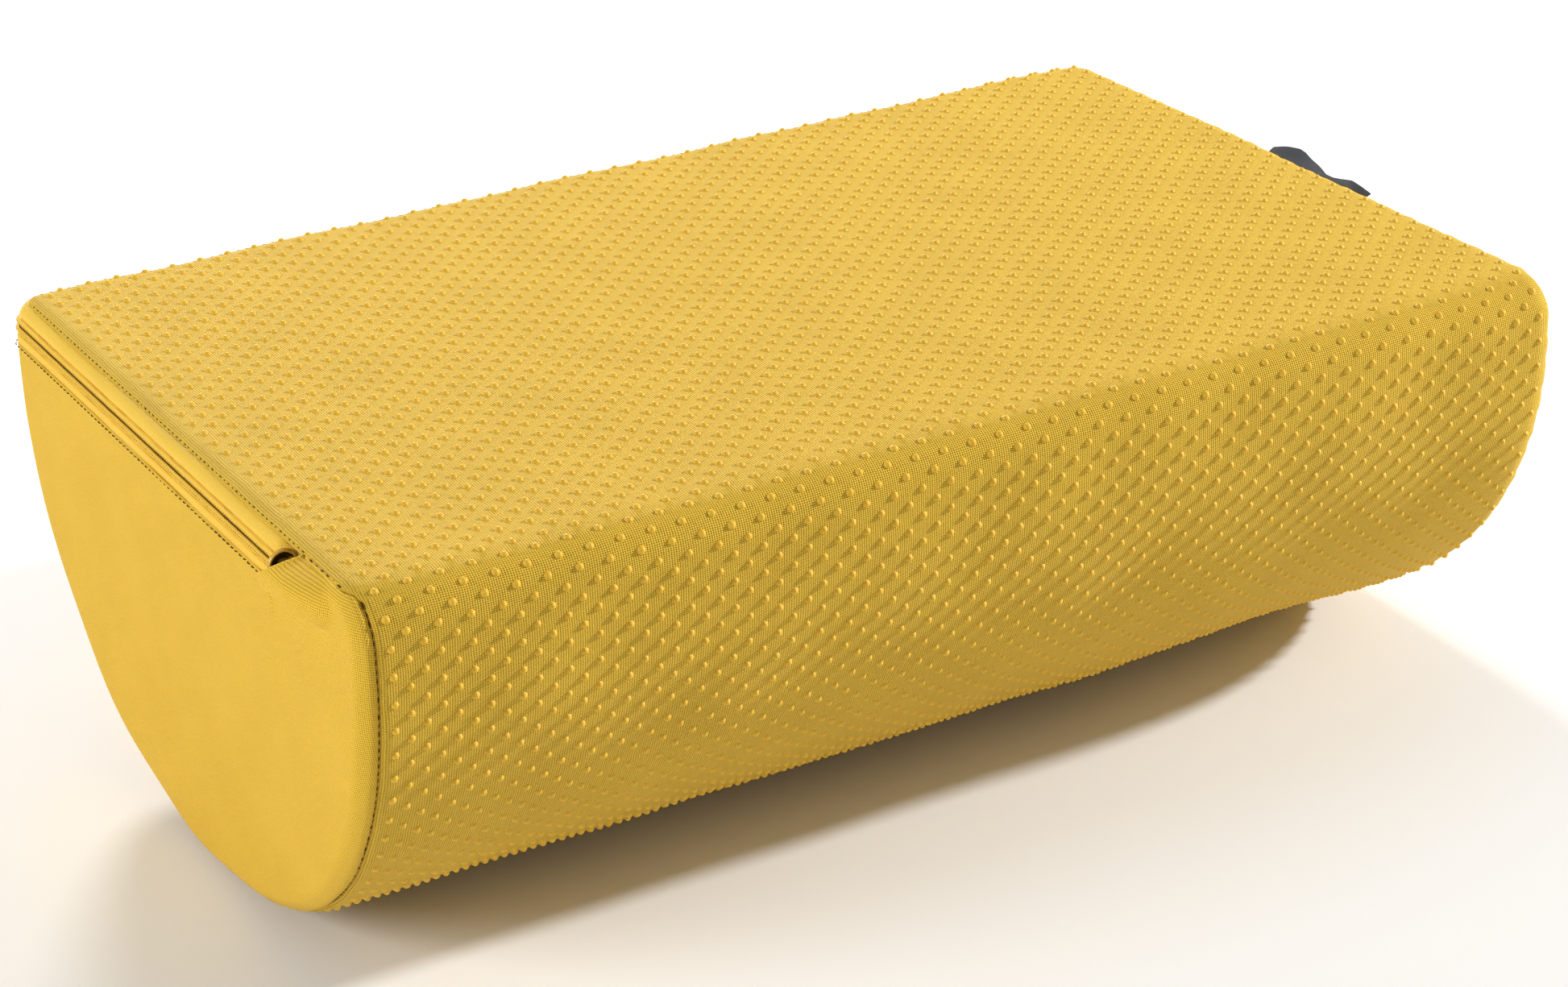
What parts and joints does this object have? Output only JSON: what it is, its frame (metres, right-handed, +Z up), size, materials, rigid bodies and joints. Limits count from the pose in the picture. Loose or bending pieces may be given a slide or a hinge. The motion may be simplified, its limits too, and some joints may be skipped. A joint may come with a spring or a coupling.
{
  "type": "half-round support cushion",
  "caption": "Half-round support cushion: a foam core with a flat top and a rocking underside, in a zipped cover of raised-dot fabric with a side label.",
  "frame": {"origin": "under the middle of the cushion, on the lowest line of the round underside", "axes": "+X along the cushion from the zipped end to the end with the label, +Y from front to rear, +Z up out of the flat top face"},
  "size_m": [0.459, 0.2902, 0.1559],
  "materials": {
    "dotted_fabric": "matte",
    "plain_fabric": "matte",
    "zip_tape": "matte",
    "zip_coil": "satin",
    "zip_metal": "gloss",
    "thread": "matte",
    "label_ribbon": "satin",
    "foam": "matte"
  },
  "bodies": {
    "cushion": {"foam_core": "foam", "wrap_panel": "dotted_fabric", "left_end_panel": "plain_fabric", "right_end_panel": "plain_fabric", "zip_tape_upper": "zip_tape", "zip_tape_lower": "zip_tape", "zip_coil_upper": "zip_coil", "zip_coil_lower": "zip_coil", "zip_top_stops": "zip_metal", "zip_bottom_stop": "zip_metal", "zip_topstitch_upper": "thread", "zip_topstitch_lower": "thread", "left_seam_thread": "thread", "right_seam_thread": "thread", "garage_seam_thread": "thread", "rear_seam_thread": "thread"},
    "slider": {"zip_slider": "zip_metal"},
    "label": {"side_label": "label_ribbon"}
  },
  "joints": [
    {"name": "zip_slide", "type": "slide", "parent": "cushion", "child": "slider", "axis": [0, 1, 0], "range_m": [0, 0.215]},
    {"name": "label_flap", "type": "hinge", "parent": "cushion", "child": "label", "pos_m": [0.2205, -0.01, 0.15133], "axis": [0, 1, 0], "range_deg": [-65, 40], "stiffness_Nm_per_rad": 0.0005}
  ]
}
